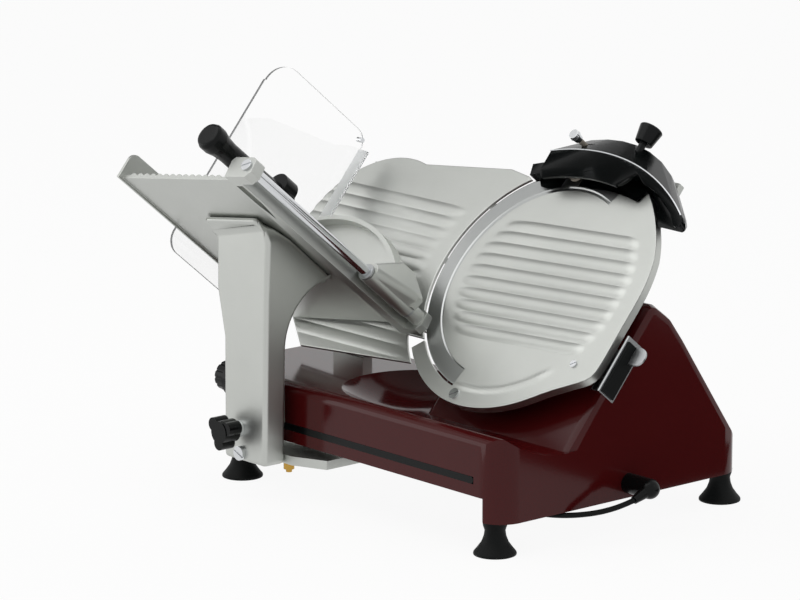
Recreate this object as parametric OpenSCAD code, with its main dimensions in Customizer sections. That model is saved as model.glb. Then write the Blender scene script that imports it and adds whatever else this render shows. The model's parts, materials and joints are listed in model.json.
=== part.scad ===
// Electric food slicer with a slanted blade and a sliding carriage, in millimetres, +Z up.
// +X is the carriage stroke, -Y is the carriage side, the feet stand on Z = 0.

/* [Blade] */
// diameter of the round blade
blade_d = 330; // [300:1:350]
// blade plane leans back from vertical by this angle
blade_tilt = 40; // [40:1:42]
// height of the blade centre above the floor
blade_z = 292; // [288:1:300]
// thickness of the blade disc
blade_t = 4; // [3:0.5:5]
// diameter of the spindle shaft
spindle_d = 28; // [26:1:30]

/* [Base] */
// height of the rubber feet
foot_h = 43; // [36:1:50]
// largest radius of a rubber foot
foot_r = 27; // [22:1:29]
// length of the base casting along the stroke
base_l = 556; // [550:1:570]
// distance from the foot centre line to the front face
base_front = 217; // [214:1:222]
// distance from the foot centre line to the back face
base_back = 208; // [204:1:214]
// corner radius of the base in plan
corner_r = 36; // [24:1:40]
// wall thickness of the casting
wall = 8; // [6:0.5:9]
// height of the slice deck behind the gauge plate
deck_z = 84; // [82:1:90]
// lowest height of the trough under the blade
trough_z = 118; // [116:1:120]
// height of the front lip
lip_z = 151; // [148:1:156]
// edge radius of the front lip
lip_r = 14; // [8:1:18]
// radius of the trough under the blade
trough_r = 160; // [156:1:164]
// height of the opening under the front wall
arch_z = 74; // [70:1:78]
// edge radius of the motor housing
housing_edge = 12; // [6:1:14]

/* [Carriage] */
// radius of the slide rod
rod_r = 10; // [8:0.5:11]
// roll of the food tray towards its low side
tray_roll = 8.8; // [8:0.1:9.4]
// thickness of the tray floor
tray_t = 5; // [4:0.5:6]
// pitch of the tray ridges
tray_pitch = 12; // [10:0.5:16]
// radius of the pusher rod
pusher_rod_r = 7; // [5:0.5:8]
// thickness of the pusher plate
pusher_t = 8; // [5:0.5:10]
// thickness of the clear finger guard
guard_t = 4; // [3:0.5:5]

/* [Cover and gauge] */
// thickness of the blade cover
cover_t = 3.2; // [2.4:0.2:3.6]
// pitch of the cover ridges
ridge_pitch = 17.5; // [14:0.5:18]
// height of the ridges on the cover
ridge_h = 1.6; // [0.8:0.2:1.8]
// thickness of the gauge plate
gauge_t = 4; // [3:0.5:5]
// greatest opening of the gauge plate
gauge_travel = 12; // [8:1:14]

/* [Lead] */
// diameter of the mains lead
cord_d = 7; // [6:0.5:7]

/* [Fits] */
// radial running clearance
run_fit = 0.05; // [0.03:0.01:0.08]
// free gap between moving neighbours
free_gap = 0.4; // [0.3:0.1:0.6]

/* [Hidden] */
$fn = 48;

// frame: the origin lies under the middle of the object without its lead
mid = [-16.5, -76.45];
blade_r = blade_d / 2;
half_l = base_l / 2;
blade_x = 100;
foot_x = 248;
foot_y = 195;
stud_top = 70;
// seat plane of the spindle housing, measured along the blade normal
seat_n = -34;
housing_x = 8;
trough_y = -105;
trough_top = trough_z + trough_r;
bowl_x = 0;
step_y = -5;
part_y = -122;
rod_y = -172;
rod_z = 86;
rod_end = 262;
index_y = -162;
index_z = 118;
shaft_r = 6;
cam_x = -227;
cam_low = 8;
cam_turn = 280;
gland_y = 3;
gland_z = 62;
cover_n = 0.8;
cover_top = cover_n + cover_t;
spindle_r = spindle_d / 2;
bearing_r = spindle_r + 9.5;
tie_r = 5;
recess_r = 34;
drum_r = 64;
belt_n = [-63, -49];
motor_at = [65, -103];
motor_r = 42;
tray_top = -69;
bar_tx = [-178, -161];
bar_tw = [-90, -66];
end_tx = [-178, -135];
bar_n = [7, 384];
prod_at = [-147, -73];
grip_at = [-209, -46];
knob_at = [60, 5];
button_at = [-19, 192];
stone_at = [55, 158];
tray_end = 350;
// inner face and width of the wall at the tray's low side
tray_wall_x = -388;
tray_wall_w = [-138, -99];
wall_corner = 12;
clamp_at = [-162, 93];
start_at = [-90, 105];
stop_at = [-52, 105];
button_r = 11;
plug_r = 19;

// height Y,Z of a point given in the blade plane's own axes
function yz(w, n) = [w * cos(90 - blade_tilt) - n * sin(90 - blade_tilt),
    blade_z + w * sin(90 - blade_tilt) + n * cos(90 - blade_tilt)];
function unit(v) = v / norm(v);
function tangents(p) = [for (i = [0:len(p) - 1]) unit(p[min(i + 1, len(p) - 1)] - p[max(i - 1, 0)])];
function carry(t, u, i = 0) = i == len(t) ? [] :
    let (v = unit(u - (u * t[i]) * t[i])) concat([v], carry(t, v, i + 1));
function ring_faces(n, s) = concat(
    [[for (k = [s - 1:-1:0]) k]],
    [[for (k = [0:s - 1]) (n - 1) * s + k]],
    [for (i = [0:n - 2]) for (k = [0:s - 1]) [i * s + k, i * s + (k + 1) % s, (i + 1) * s + (k + 1) % s,
        (i + 1) * s + k]]);

module machine() { translate([-mid[0], -mid[1], 0]) children(); }
module slant() { machine() translate([blade_x, 0, blade_z]) rotate([90 - blade_tilt, 0, 0]) children(); }
module tray() { slant() rotate([0, 0, tray_roll]) children(); }
module along_x(x0, x1, y, z, r) {
    translate([x0, y, z]) rotate([0, 90, 0]) cylinder(r = r, h = x1 - x0);
}
module along_y(y0, y1, x, z, r) {
    translate([x, y1, z]) rotate([90, 0, 0]) cylinder(r = r, h = y1 - y0);
}
module along_n(n0, n1, at, r) { translate([at[0], at[1], n0]) cylinder(r = r, h = n1 - n0); }
module block(x, y, z) {
    translate([x[0], y[0], z[0]]) cube([x[1] - x[0], y[1] - y[0], z[1] - z[0]]);
}
module round_rect(x, y, r) {
    translate([x[0] + r, y[0]]) square([x[1] - x[0] - 2 * r, y[1] - y[0]]);
    translate([x[0], y[0] + r]) square([x[1] - x[0], y[1] - y[0] - 2 * r]);
    for (px = [x[0] + r, x[1] - r]) for (py = [y[0] + r, y[1] - r]) translate([px, py]) circle(r);
}
module tube(p, r, sides, up) {
    t = tangents(p);
    u = carry(t, up);
    polyhedron([for (i = [0:len(p) - 1]) let (s = cross(t[i], u[i])) for (k = [0:sides - 1])
        p[i] + r * (cos(360 * k / sides) * u[i] - sin(360 * k / sides) * s)], ring_faces(len(p), sides));
}

// base casting with the motor housing behind the blade
housing_circles = [concat(yz(10, seat_n - 16), 16), [62, 247, 22], [84, 221, 20], [107, 185, 20], [124, 154, 20],
    [138, 123, 23], [150, 93, 25], [183, 68, 25], concat(yz(-209, seat_n - 16), 16)];
module base_plan(inset) {
    round_rect([-half_l + inset, half_l - inset], [-base_front + inset, base_back - inset], corner_r - inset);
}
module trough(extra) {
    along_x(bowl_x, half_l + 1, trough_y, trough_top, trough_r + extra, $fn = 96);
    translate([bowl_x, trough_y, trough_top]) rotate([0, 90, 0]) sphere(trough_r + extra, $fn = 96);
}
module housing_hull(inset, edge) {
    hull() for (c = housing_circles) for (e = [[0, 1], [0.3, 0.3], [1, 0]])
        along_x(housing_x + inset + edge * e[0], half_l - inset - edge * e[0], c[0], c[1],
            c[2] - inset - edge * e[1], $fn = 32);
}
module front_profile() {
    translate([-base_front, foot_h]) square([base_front + step_y, lip_z - lip_r - foot_h]);
    translate([-base_front + lip_r, foot_h]) square([base_front + step_y - lip_r, lip_z - foot_h]);
    translate([-base_front + lip_r, lip_z - lip_r]) circle(lip_r);
}
module base_outer() {
    translate([0, 0, foot_h]) linear_extrude(deck_z - foot_h) base_plan(0);
    difference() {
        intersection() {
            translate([0, 0, foot_h]) linear_extrude(lip_z - foot_h) base_plan(0);
            translate([-half_l, 0, 0]) rotate([90, 0, 90]) linear_extrude(base_l) front_profile();
        }
        trough(0);
    }
    intersection() {
        housing_hull(0, housing_edge);
        linear_extrude(400) base_plan(0);
    }
    translate([blade_x, 0, blade_z]) rotate([90 - blade_tilt, 0, 0]) along_n(-118, seat_n, [0, 0], drum_r);
}
module base_inner() {
    translate([0, 0, foot_h - 1]) linear_extrude(deck_z - wall - foot_h + 1) base_plan(wall);
    difference() {
        intersection() {
            block([-half_l, half_l], [-base_front, step_y - wall], [foot_h - 1, lip_z - wall]);
            linear_extrude(lip_z) base_plan(wall);
        }
        trough(wall);
    }
    intersection() {
        housing_hull(wall - 1, housing_edge / 2);
        linear_extrude(400) base_plan(wall);
    }
    translate([blade_x, 0, blade_z]) rotate([90 - blade_tilt, 0, 0])
        along_n(-118 + wall, seat_n - wall + 1, [0, 0], drum_r - wall + 1);
}
module base_casting() color("#4a1518") machine() difference() {
    union() {
        difference() {
            base_outer();
            base_inner();
            // opening under the front wall for the slide block
            block([-foot_x - 1, foot_x + 1], [-base_front - 1, part_y - 7], [foot_h - 1, arch_z]);
        }
        // partition between the slide channel and the motor space
        difference() {
            block([-half_l + wall - 1, half_l - wall + 1], [part_y - 6, part_y], [foot_h + 2.5, lip_z - wall + 1]);
            trough(wall / 2);
        }
        // posts for the feet, rod bosses and the shaft boss
        intersection() {
            for (px = [-foot_x, foot_x]) for (py = [-foot_y, foot_y])
                translate([px, py, foot_h]) cylinder(r = 16, h = deck_z - wall - foot_h + 1);
            linear_extrude(200) base_plan(0.5);
        }
        for (s = [-1, 1]) along_x(s < 0 ? -half_l + wall - 1 : 246, s < 0 ? -246 : half_l - wall + 1,
            rod_y, rod_z, rod_r + 7);
        along_x(-half_l + wall - 1, -254, index_y, index_z, 14);
        // walls of the recess for the tie knob
        intersection() {
            housing_hull(0, housing_edge);
            slant_in_machine() along_n(-240, -110, [0, 0], recess_r + wall - 1);
        }
    }
    slant_in_machine() along_n(-260, -118, [0, 0], recess_r);
    for (px = [-foot_x, foot_x]) for (py = [-foot_y, foot_y])
        translate([px, py, foot_h - 1]) cylinder(r = 5 + run_fit, h = stud_top - foot_h + 1.5);
    along_x(-rod_end - run_fit, rod_end + run_fit, rod_y, rod_z, rod_r + run_fit);
    along_x(-half_l - 1, -240, index_y, index_z, shaft_r + run_fit);
    // groove for the trim strip
    block([-250.2, 232.2], [-base_front - 1, -base_front + 2.5], [89.3, 98.7]);
    along_x(half_l - wall - 1, half_l + 1, gland_y, gland_z, 10 + run_fit);
    for (at = [start_at, stop_at]) along_x(-half_l - 1, -half_l + wall + 1, at[0], at[1], button_r + run_fit);
    // slot for the gauge arm and hole for its push rod
    block([-242, -171], [-53, -18], [lip_z - wall - 1, lip_z + 1]);
    slant_in_machine() along_n(-110, 0, [cam_x - blade_x, link_w], 7);
    // spindle housing seat, tie rod hole
    slant_in_machine() {
        along_n(seat_n - wall - 1, seat_n + 1, [0, 0], bearing_r + 7.5 + run_fit);
        along_n(-120, -100, [0, 0], tie_r + run_fit);
    }
}
module slant_in_machine() { translate([blade_x, 0, blade_z]) rotate([90 - blade_tilt, 0, 0]) children(); }
link_w = index_y * cos(90 - blade_tilt) + (index_z - blade_z) * sin(90 - blade_tilt);
link_n = -index_y * sin(90 - blade_tilt) + (index_z - blade_z) * cos(90 - blade_tilt);
module bottom_plate() color("#b9babb") machine() translate([0, 0, foot_h + 0.5]) difference() {
    linear_extrude(2) difference() {
        round_rect([-half_l + wall + 0.5, half_l - wall - 0.5], [part_y - 6, base_back - wall - 0.5], corner_r - wall);
        for (px = [-foot_x, foot_x]) translate([px, foot_y]) circle(16.5);
    }
    for (vx = [-60:15:60]) block([vx, vx + 6], [40, 110], [-1, 3]);
}
module trim_strip() color("#222625") machine() difference() {
    block([-250, 232], [-base_front - 0.4, -base_front + 2.5], [89.5, 98.5]);
    difference() {
        block([227.5, 233], [-base_front - 1, -base_front + 3], [89, 99]);
        along_y(-base_front - 2, -base_front + 4, 227.5, 94, 4.5);
    }
}
module rubber_feet() color("#161616") machine()
    for (px = [-foot_x, foot_x]) for (py = [-foot_y, foot_y]) translate([px, py, 0]) difference() {
        rotate_extrude() polygon([[0, 0], [foot_r, 0], [foot_r, 3], [foot_r - 5, 9], [foot_r - 10, 16],
            [foot_r - 13, 24], [foot_r - 14, 31], [foot_r - 12, 37], [foot_r - 11, foot_h], [0, foot_h]]);
        translate([0, 0, 8]) cylinder(r = 5 + run_fit, h = foot_h);
    }
module foot_screws() color("#8d9094") machine()
    for (px = [-foot_x, foot_x]) for (py = [-foot_y, foot_y]) translate([px, py, 8]) cylinder(r = 5, h = stud_top - 8);
module slide_rod() color("#d4d6d8") machine() along_x(-rod_end, rod_end, rod_y, rod_z, rod_r);
module slide_rail() color("#a7a9ab") machine() block([cam_x + 14, 240], [part_y - 16, part_y - 6], [84, 96]);

// mains lead: hand-chosen points of the visible run, then a tied coil behind the base
cord_r = cord_d / 2;
cord_route = [[316, -24, 52], [312, -40, 47.5], [307, -56, 44], [300, -73, 41.5], [291, -88, 40],
    [280, -101, 39], [267, -112, 38.6], [252, -120, 38.2], [235, -125, 35], [217, -127, 30], [198, -125, 25],
    [180, -119, 20], [164, -109, 15], [151, -95, 10.5], [143, -78, 7.5], [139, -60, 5.5], [137, -40, 5],
    [136, -20, 5], [136, 0, 5], [136, 20, 5], [136, 40, 5], [136, 60, 5], [135, 80, 5], [133, 100, 5],
    [130, 120, 5], [126, 140, 5], [120, 160, 5], [112, 178, 5], [103, 195, 5], [95, 213, 5], [88, 232, 5],
    [84, 252, 5], [82, 268, 5]];
// way from the lead's start to the bend of the gland
outlet = unit([half_l + 38, gland_y, gland_z] - cord_route[0]);
coil_at = [32, 275];
coil_out = 50;
coil_pitch = cord_d + 0.7;
coil_low = 5;
coil_steps = 57;
// the spiral runs in on the lower layer, climbs in the half turn of its reversal and runs out on top
function coil_point(i) = let (a = i * 15, inward = min(i, coil_steps), outward = max(i - coil_steps - 12, 0),
    hold = min(max(i - coil_steps, 0), 12),
    r = coil_out - coil_pitch * (inward - outward) * 15 / 360,
    z = coil_low + (cord_d + 0.7) * (1 - cos(180 * hold / 12)) / 2)
    [coil_at[0] + r * cos(a), coil_at[1] + r * sin(a), z];
coil_path = concat([[82, 268, 5]], [for (i = [0:2 * coil_steps + 12]) coil_point(i)]);
coil_end = coil_point(2 * coil_steps + 12);
tail_dir = unit(coil_end - coil_point(2 * coil_steps + 11));
tail_path = [coil_end + 10 * tail_dir, coil_end + 24 * tail_dir + [0, 0, 1], coil_end + 40 * tail_dir + [0, 0, 5],
    coil_end + 56 * tail_dir + [0, 0, 7.3], coil_end + 66 * tail_dir + [0, 0, 7.3]];
plug_at = coil_end + 66 * tail_dir + [0, 0, 7.3];
function least_gap(p, k) = min([for (i = [0:len(p) - 1 - k]) min([for (j = [i + k:len(p) - 1])
    norm(p[i] - p[j])])]) - cord_d;
echo(coil_gap = least_gap(coil_path, 12));
echo(route_len = path_len(cord_route), coil_len = path_len(coil_path), tail_len = path_len(tail_path));
function path_len(p, i = 1) = i == len(p) ? 0 : norm(p[i] - p[i - 1]) + path_len(p, i + 1);
module cord_gland() color("#1a1a1a") machine() {
    along_x(half_l - wall - 8, half_l, gland_y, gland_z, 10);
    along_x(half_l, half_l + 38, gland_y, gland_z, 13);
    translate([half_l + 38, gland_y, gland_z]) sphere(13);
    along_x(half_l - wall - 6, half_l - wall, gland_y, gland_z, 13);
    // tapered outlet at the bent end
    translate(cord_route[0]) rotate([0, acos(outlet[2]), atan2(outlet[1], outlet[0])])
        cylinder(r1 = cord_r + 1.5, r2 = 9, h = norm([half_l + 38, gland_y, gland_z] - cord_route[0]));
}
module cord_run() color("#1d1d1d") machine() tube(cord_route, cord_r, 10, [0, 0, 1]);
module cord_coil() color("#1d1d1d") machine() tube(concat(coil_path, tail_path), cord_r, 6, [0, 0, 1]);
module coil_tie() color("#2a2a2a") machine() translate([coil_at[0] - 42, coil_at[1], 0]) difference() {
    block([-16.5, 16.5], [-4, 4], [0, 18.5]);
    block([-15, 15], [-5, 5], [1, 17.5]);
}
module mains_plug() color("#1a1a1a") machine() translate([plug_at[0], plug_at[1], plug_at[2]])
    rotate([0, 90, atan2(tail_dir[1], tail_dir[0])]) {
        cylinder(r1 = 6, r2 = 11, h = 22);
        translate([0, 0, 22]) cylinder(r1 = 13, r2 = plug_r, h = 14);
        translate([0, 0, 36]) cylinder(r = plug_r, h = 14);
        for (s = [-9.5, 9.5]) translate([0, s, 50]) cylinder(r = 2.4, h = 19);
    }

// drive
module motor_body() color("#7d8084") slant() difference() {
    union() {
        along_n(-180, -70, motor_at, motor_r);
        for (a = [32, 212, 302]) along_n(-71, seat_n - wall + 0.9, motor_at + 33 * [cos(a), sin(a)], 6);
    }
    along_n(-150, -69, motor_at, 6 + run_fit);
    for (k = [0:4]) translate([motor_at[0], motor_at[1], -165 + 18 * k]) difference() {
        cylinder(r = motor_r + 1, h = 8);
        cylinder(r = motor_r - 3, h = 8);
    }
}
module motor_shaft() color("#c5c7c9") slant() along_n(-148, belt_n[1] + 2, motor_at, 6);
module drive_pulley() color("#9fa2a5") slant() difference() {
    along_n(belt_n[0], belt_n[1], motor_at, 13);
    along_n(belt_n[0] - 1, belt_n[1] + 1, motor_at, 6);
}
module belt_loop(extra, n0, n1) {
    translate([0, 0, n0]) linear_extrude(n1 - n0) hull() {
        circle(50 + extra);
        translate(motor_at) circle(13 + extra);
    }
}
module drive_belt() color("#202020") slant() difference() {
    belt_loop(3, belt_n[0] + 1, belt_n[1] - 1);
    belt_loop(free_gap, belt_n[0], belt_n[1]);
}
module driven_pulley() color("#9fa2a5") slant() difference() {
    along_n(belt_n[0], belt_n[1], [0, 0], 50);
    along_n(belt_n[0] - 1, belt_n[1] + 1, [0, 0], spindle_r);
    for (a = [0:60:300]) along_n(belt_n[0] - 1, belt_n[1] + 1, 33 * [cos(a), sin(a)], 9);
}
module blade_spindle() color("#b4b7ba") slant() difference() {
    union() {
        along_n(-66, -10, [0, 0], spindle_r);
        along_n(-11, -blade_t, [0, 0], 35);
        along_n(-blade_t - 1, -1.5, [0, 0], 22);
    }
    along_n(-67, 0, [0, 0], tie_r + 1.5);
}
module spindle_bearings() color("#8f9396") slant() for (n0 = [-22, -36]) difference() {
    along_n(n0, n0 + 9, [0, 0], bearing_r);
    along_n(n0 - 1, n0 + 10, [0, 0], spindle_r + run_fit);
}
module spindle_housing() color("#7a7d80") slant() difference() {
    union() {
        along_n(-46, -12, [0, 0], bearing_r + 7.5);
        along_n(seat_n, seat_n + 7, [0, 0], bearing_r + 18.5);
    }
    along_n(-47, -11, [0, 0], bearing_r);
}
module blade() color("#d9dbdd") slant() rotate_extrude($fn = 180) polygon([[22, -blade_t], [22, -1], [140, -1],
    [142, -0.2], [blade_r - 1, -1], [blade_r, -1.3], [blade_r - 17, -blade_t]]);
module cover_tie_knob() color("#181818") slant() {
    along_n(-126, cover_n + 0.5, [0, 0], tie_r);
    along_n(-121, -118 - free_gap, [0, 0], 12);
    translate([0, 0, -148]) cylinder(r1 = 19, r2 = 15, h = 27);
    for (a = [0:60:300]) along_n(-146, -130, 16 * [cos(a), sin(a)], 5);
}

// blade cover, its guard arm and the bracket beside it
cover_c = [7, -4];
cover_r = blade_r - 26;
flange_r = blade_r + 24;
flange_end = 65;
flange_start = -100;
// steps of the outer edge beyond its round part, by angle
flange_knots = [[-70, 0], [-56, 0.6], [-50, 1.8], [-44, 6], [-38, 14.3], [-34, 21.4], [-31.5, 25.5], [-29, 26.5],
    [-26.5, 23.2], [-21.4, 15.9], [-16, 9.4], [-10.8, 5.2], [-5, 3], [0, 2.5], [10.6, 3.3], [20, 4], [28, 2.2],
    [36, 0.4], [42, 0]];
function flange_way(a) = flange_r + lookup(a, flange_knots);
function flange_edge(t) = [for (a = [flange_start:2.5:flange_end]) (flange_way(a) - t) * [cos(a), sin(a)]];
module flange_outline(t) { polygon(concat([[0, 0]], flange_edge(t))); }
module cover_outline() {
    translate(cover_c) circle(cover_r, $fn = 180);
    flange_outline(0);
}
module ridge_area() {
    translate(cover_c) circle(cover_r - 20);
    intersection() {
        translate(cover_c) circle(cover_r + 19);
        translate([60, -100]) square([120, 190]);
    }
}
// radius that gives a ridge its height over nearly the whole pitch
function ridge_round(h) = (pow(0.47 * ridge_pitch, 2) + h * h) / (2 * h);
module blade_cover() color("#c3c4c2") slant() difference() {
    union() {
        translate([0, 0, cover_n]) linear_extrude(cover_t) cover_outline();
        // rim turned back round the blade
        translate([0, 0, -8]) linear_extrude(8 + cover_top) intersection() {
            difference() {
                flange_outline(0);
                flange_outline(2.4);
            }
            translate([-5, -300]) square([400, 600]);
        }
        // pressed ridges
        intersection() {
            translate([0, 0, cover_top - 0.5]) linear_extrude(ridge_h + 1) ridge_area();
            for (k = [-5:4]) translate([0, ridge_pitch * k + 2.5, cover_top + ridge_h - ridge_round(ridge_h)])
                rotate([0, 0, 3]) translate([-140, 0, 0]) rotate([0, 90, 0])
                    cylinder(r = ridge_round(ridge_h), h = 340, $fn = 120);
        }
        // curved lip near the lower edge
        translate([0, 0, cover_top]) intersection() {
            rotate_extrude($fn = 120) translate([157, -1]) circle(2.5, $fn = 16);
            linear_extrude(6) polygon([[0, 0], [-60, -220], [60, -240], [190, -150]]);
        }
        along_n(-1, cover_n + 0.5, [0, 0], 5 + tie_r);
    }
    along_n(-4, cover_n + 1, [0, 0], tie_r + run_fit);
    along_n(-10, 9, [-17, -176], 4 + run_fit);
    along_n(-10, 9, [149, -97], 3 + run_fit);
}
module cover_screws() color("#a9abac") slant() {
    for (s = [[-17, -176, 4, 7.5], [149, -97, 3, 5]]) difference() {
        union() {
            along_n(-3, cover_top, [s[0], s[1]], s[2]);
            along_n(cover_top, cover_top + 2.2, [s[0], s[1]], s[3]);
        }
        translate([s[0], s[1], cover_top + 2]) rotate([0, 0, 35]) cube([s[3] * 3, 1.4, 2], center = true);
    }
}
module guard_arm() color("#b9bbba") slant() difference() {
    translate([0, 0, -3.4]) linear_extrude(3.4 + cover_n) intersection() {
        difference() {
            circle(blade_r + 23.5, $fn = 180);
            circle(blade_r + 3, $fn = 180);
        }
        polygon([[0, 0], [-190, -178], [-190, -260], [-6, -260], [-6, -160]]);
    }
    along_n(-5, 2, [-17, -176], 4 + run_fit);
}
// inner face of the bracket, clear of the cover's rim
bracket_x = flange_r + 12;
module guard_bracket() color("#9b9d9e") slant() {
    block([bracket_x, bracket_x + 3], [-120, -40], [seat_n, -3]);
    block([160, bracket_x + 3], [-110, -50], [seat_n, seat_n + 3]);
    translate([bracket_x + 3, -57.5, -22]) {
        block([-1, 12], [-12.5, 12.5], [-1.5, 1.5]);
        along_n(-1.5, 1.5, [12, 0], 12.5);
    }
}
module bracket_pad() color("#171717") slant() block([bracket_x + 3, bracket_x + 10], [-118, -74], [-30, -6]);
module slice_deflector() color("#c6c8c9") slant() {
    block([-88, -54], [-90, -20], [seat_n, seat_n + 2]);
    block([-90, -88], [-110, 10], [seat_n, -12]);
}

// sharpener over the top of the blade
front_arc = [28, -129, 311];
sharp_back = -24;
sharp_front = 32;
module sharpener_hull() {
    hull() {
        for (x = [-58, -30, 0, 30, 60, 90, 120, 150, 185, 215])
            translate([x, front_arc[1] + sqrt(pow(front_arc[2] - 4, 2) - pow(x - front_arc[0], 2)), sharp_front - 4])
                cylinder(r = 4, h = 4, $fn = 32);
        for (x = [-34, -8, 18, 44, 70, 98, 126, 154, 178])
            translate([x, 22 + sqrt(pow(192, 2) - pow(x - 18, 2)), -2]) sphere(4, $fn = 16);
        for (x = [-30, 18, 70, 120, 165])
            translate([x, 22 + sqrt(pow(186, 2) - pow(x - 18, 2)), sharp_back]) cylinder(r = 4, h = 4, $fn = 16);
        translate([-66, 132, sharp_back]) cylinder(r = 4, h = sharp_front - sharp_back, $fn = 32);
        translate([214, 106, 16]) cylinder(r = 4, h = sharp_front - 16, $fn = 32);
        translate([172, 128, sharp_back]) cylinder(r = 4, h = 30, $fn = 32);
    }
}
module sharpener_housing() color("#15181a") slant() difference() {
    union() {
        sharpener_hull();
        // end cap beside the gauge plate
        translate([-70, 146, 5]) rotate([0, 0, 18]) block([-14, 16], [-9, 9], [0, 17]);
    }
    // room for the blade and the cover
    along_n(-12, 7, [0, 0], blade_r + 5, $fn = 120);
    // lower edge of the front face, and the narrow arm beside it
    along_n(7, sharp_front + 5, [40, -160], 302, $fn = 360);
    intersection() {
        along_n(7, sharp_front + 5, [100, 0], 152, $fn = 180);
        linear_extrude(sharp_front + 6) polygon([[102, 130], [116, 156], [300, 156], [300, -100], [102, -100]]);
    }
    along_n(sharp_back - 5, -11, [0, 0], blade_r - 12, $fn = 120);
    intersection() {
        along_n(-12, 7, [0, 0], flange_r + 6, $fn = 120);
        translate([0, 0, -13]) linear_extrude(21) polygon([[0, 0], [62, 170], [120, 300], [300, 200], [300, -100]]);
    }
    // cavities for the two stones
    along_n(sharp_back - 5, -8, stone_at, 22);
    block([button_at[0] - 14, button_at[0] + 14], [120, button_at[1] + 5], [5, 18]);
    along_n(10, 50, button_at, 3.5 + run_fit);
    translate([knob_at[0], 186, knob_at[1]]) rotate([-90, 0, 0]) cylinder(r = 5 + run_fit, h = 60);
}
module sharpener_trim() color("#d0d2d3") slant() translate([0, 0, sharp_front]) linear_extrude(0.8) intersection() {
    translate([front_arc[0], front_arc[1]]) difference() {
        circle(front_arc[2], $fn = 360);
        circle(front_arc[2] - 1.4, $fn = 360);
    }
    translate([-58, 90]) square([273, 120]);
}
module sharpener_post() color("#8a8d90") slant() difference() {
    union() {
        block([75, 125], [-20, 186], [seat_n, sharp_back]);
        block([38, 80], [142, 176], [seat_n, sharp_back - 0.5]);
    }
    along_n(seat_n - 1, sharp_back + 1, stone_at, 4 + run_fit);
}
module grinding_stone() color("#8b857c") slant() {
    along_n(-19, -9, stone_at, 18);
    along_n(seat_n, -18, stone_at, 4);
}
module deburr_stone() color("#9a938a") slant() {
    along_n(6, 10.5, [button_at[0], 156], 11);
    block([button_at[0] - 5, button_at[0] + 5], [150, button_at[1] + 4], [10, 14]);
    along_n(13, 33, button_at, 3.5);
}
module deburr_button() color("#cfd1d2") slant() {
    translate([button_at[0], button_at[1], 33]) cylinder(r1 = 5.5, r2 = 6.5, h = 8);
    translate([button_at[0], button_at[1], 41]) cylinder(r1 = 7.5, r2 = 6.5, h = 6);
}
module sharpener_knob() color("#161616") slant() translate([knob_at[0], 190, knob_at[1]]) rotate([-90, 0, 0]) {
    cylinder(r = 5, h = 28);
    translate([0, 0, 27]) cylinder(r1 = 12, r2 = 16, h = 22);
    translate([0, 0, 49]) cylinder(r1 = 16, r2 = 14, h = 2);
}

// gauge plate and its drive
module gauge_outline() difference() {
    union() {
        translate([-330, 0]) circle(132, $fn = 120);
        polygon([[-394, 117], [-143, 147], [-106, 142], [-60, 120], [-60, -149], [-124, -149], [-336, -165],
            [-420, -96]]);
    }
    circle(blade_r + 5, $fn = 180);
    difference() {
        circle(blade_r + 30, $fn = 180);
        translate([-250, -112]) square([300, 400]);
    }
}
module gauge_plate() color("#bfc0be") slant() {
    translate([0, 0, -gauge_t]) linear_extrude(gauge_t) gauge_outline();
    intersection() {
        translate([0, 0, -1]) linear_extrude(3) intersection() {
            gauge_outline();
            translate([-450, -160]) square([430, 250]);
            difference() {
                translate([-520, -200]) square([500, 400]);
                circle(blade_r + 32);
            }
        }
        for (k = [0:12]) translate([-470, -139 + ridge_pitch * k, 1 - ridge_round(1)]) rotate([0, 90, 0])
            cylinder(r = ridge_round(1), h = 440, $fn = 120);
    }
    for (wr = [-100, 0, 90]) intersection() {
        block([-440, -120], [wr, wr + 6], [-gauge_t - 8, -gauge_t + 0.5]);
        translate([0, 0, -20]) linear_extrude(30) gauge_outline();
    }
}
guide_x = -190;
module gauge_arm() color("#96999c") machine() difference() {
    union() {
        block([-237, -176], [-48, -32], [70, 224]);
        slant_in_machine() {
            block([-337, -276], [-92, -40], [-gauge_t - 20, -gauge_t]);
            along_n(-113, -93, [guide_x - blade_x, guide_w], 14);
            along_n(link_n - 95, link_n - cam_low - free_gap, [cam_x - blade_x, link_w], 4);
        }
        translate([cam_x + 6, 0, 0]) rotate([90, 0, -90]) linear_extrude(12)
            polygon([[104, 62], [94, 72], [48, 98], [32, 98], [32, 72], [84, 60]]);
    }
    slant_in_machine() along_n(-130, -60, [guide_x - blade_x, guide_w], 8 + run_fit);
}
guide_w = -40 * cos(90 - blade_tilt) + (84 - blade_z) * sin(90 - blade_tilt);
module gauge_guide() color("#7f8286") machine() {
    slant_in_machine() along_n(-140, -78, [guide_x - blade_x, guide_w], 8);
    plate_top = foot_h + 2.5;
    block([guide_x - 20, guide_x + 20], [-74, 0], [plate_top, plate_top + 4]);
    block([guide_x - 14, guide_x + 14], [-68, -60], [plate_top, 112]);
    block([guide_x - 14, guide_x + 14], [-14, -6], [plate_top, 74]);
}
module index_shaft() color("#b4b7ba") machine() {
    along_x(-half_l - 30, -214, index_y, index_z, shaft_r);
    translate([cam_x - 7, index_y, index_z]) rotate([90, 0, 90]) linear_extrude(14) polygon(
        [for (u = [0:10:350]) let (r = u <= cam_turn ? cam_low + gauge_travel * u / cam_turn : cam_low)
            r * [cos(-blade_tilt - u), sin(-blade_tilt - u)]]);
}
module index_knob() color("#1b1b1b") machine() difference() {
    union() {
        along_x(-half_l - 22, -half_l - 3, index_y, index_z, 26);
        along_x(-half_l - 44, -half_l - 21, index_y, index_z, 20);
    }
    along_x(-half_l - 30, -half_l, index_y, index_z, shaft_r);
    for (a = [0:30:330]) along_x(-half_l - 46, -half_l - 24, index_y + 21.5 * cos(a), index_z + 21.5 * sin(a), 2.6);
}
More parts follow.
